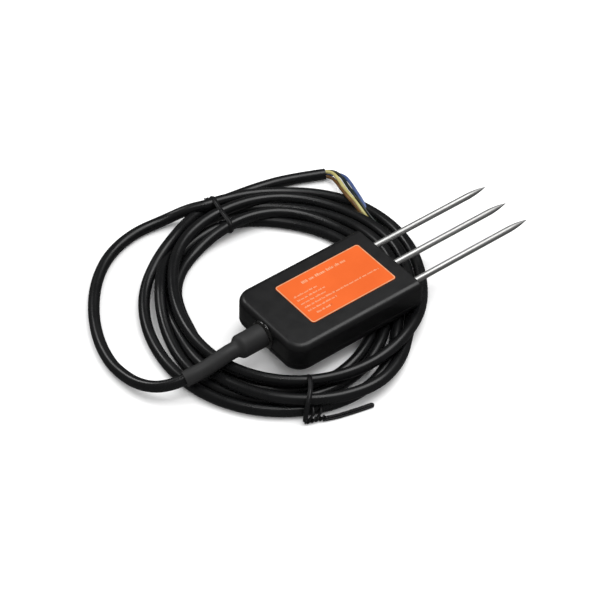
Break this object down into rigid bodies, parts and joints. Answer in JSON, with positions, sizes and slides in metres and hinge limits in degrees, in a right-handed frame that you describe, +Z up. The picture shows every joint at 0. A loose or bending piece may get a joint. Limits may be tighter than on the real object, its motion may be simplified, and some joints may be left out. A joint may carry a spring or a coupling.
{
  "type": "soil moisture sensor",
  "caption": "Wired soil moisture probe: flat black potted housing with steel needles at one end and, at the other, a shrink-sleeved lead in a tied coil with bare coloured cores",
  "frame": {"origin": "where the centre needle leaves the housing's needle end, on the needle's axis", "axes": "+X out along the needles, +Z up out of the label, +Y to the left needle"},
  "size_m": [0.1998, 0.156, 0.0207],
  "materials": {
    "housing": "fine-textured satin black moulded plastic",
    "resin": "cured black epoxy",
    "label": "semi-gloss orange printed sticker",
    "needle": "ground stainless steel",
    "sleeve": "matte shrunk polyolefin tube",
    "adhesive": "glossy hot-melt adhesive",
    "jacket": "satin black cable jacket",
    "tie": "black plastic-covered wire",
    "core_yellow": "yellow core insulation",
    "core_brown": "brown core insulation",
    "core_blue": "blue core insulation",
    "core_black": "black core insulation",
    "tinned": "tinned stranded copper",
    "board": "green solder mask on glass epoxy",
    "chip": "black moulded chip package",
    "tantalum": "mustard moulded capacitor",
    "ferrite": "grey ferrite",
    "ceramic": "tan ceramic chip",
    "can": "plated steel can",
    "solder": "bright solder",
    "crimp": "plain brass ring"
  },
  "bodies": {
    "root": {"housing_shell": "housing", "base_cover": "housing", "potting_resin": "resin", "label": "label", "probe_left": "needle", "probe_centre": "needle", "probe_right": "needle", "probe_solder": "solder", "circuit_board": "board", "microcontroller": "chip", "bus_transceiver": "chip", "voltage_regulator": "chip", "crystal": "can", "tantalum_capacitor": "tantalum", "power_inductor": "ferrite", "polarity_diode": "chip", "surge_diodes": "chip", "temperature_sensor": "chip", "chip_capacitors": "ceramic", "chip_resistors": "chip", "lead_entry": "jacket", "anchor_ring": "crimp", "inner_core_brown": "core_brown", "inner_core_yellow": "core_yellow", "inner_core_black": "core_black", "inner_core_blue": "core_blue", "core_solder": "solder", "shrink_sleeve": "sleeve", "adhesive_bead": "adhesive", "lead_loop": "jacket", "lead_coil": "jacket", "lead_end": "jacket", "tie_top": "tie", "tie_bottom": "tie", "core_yellow": "core_yellow", "core_brown": "core_brown", "core_blue": "core_blue", "core_black": "core_black", "core_tips": "tinned"}
  },
  "joints": []
}
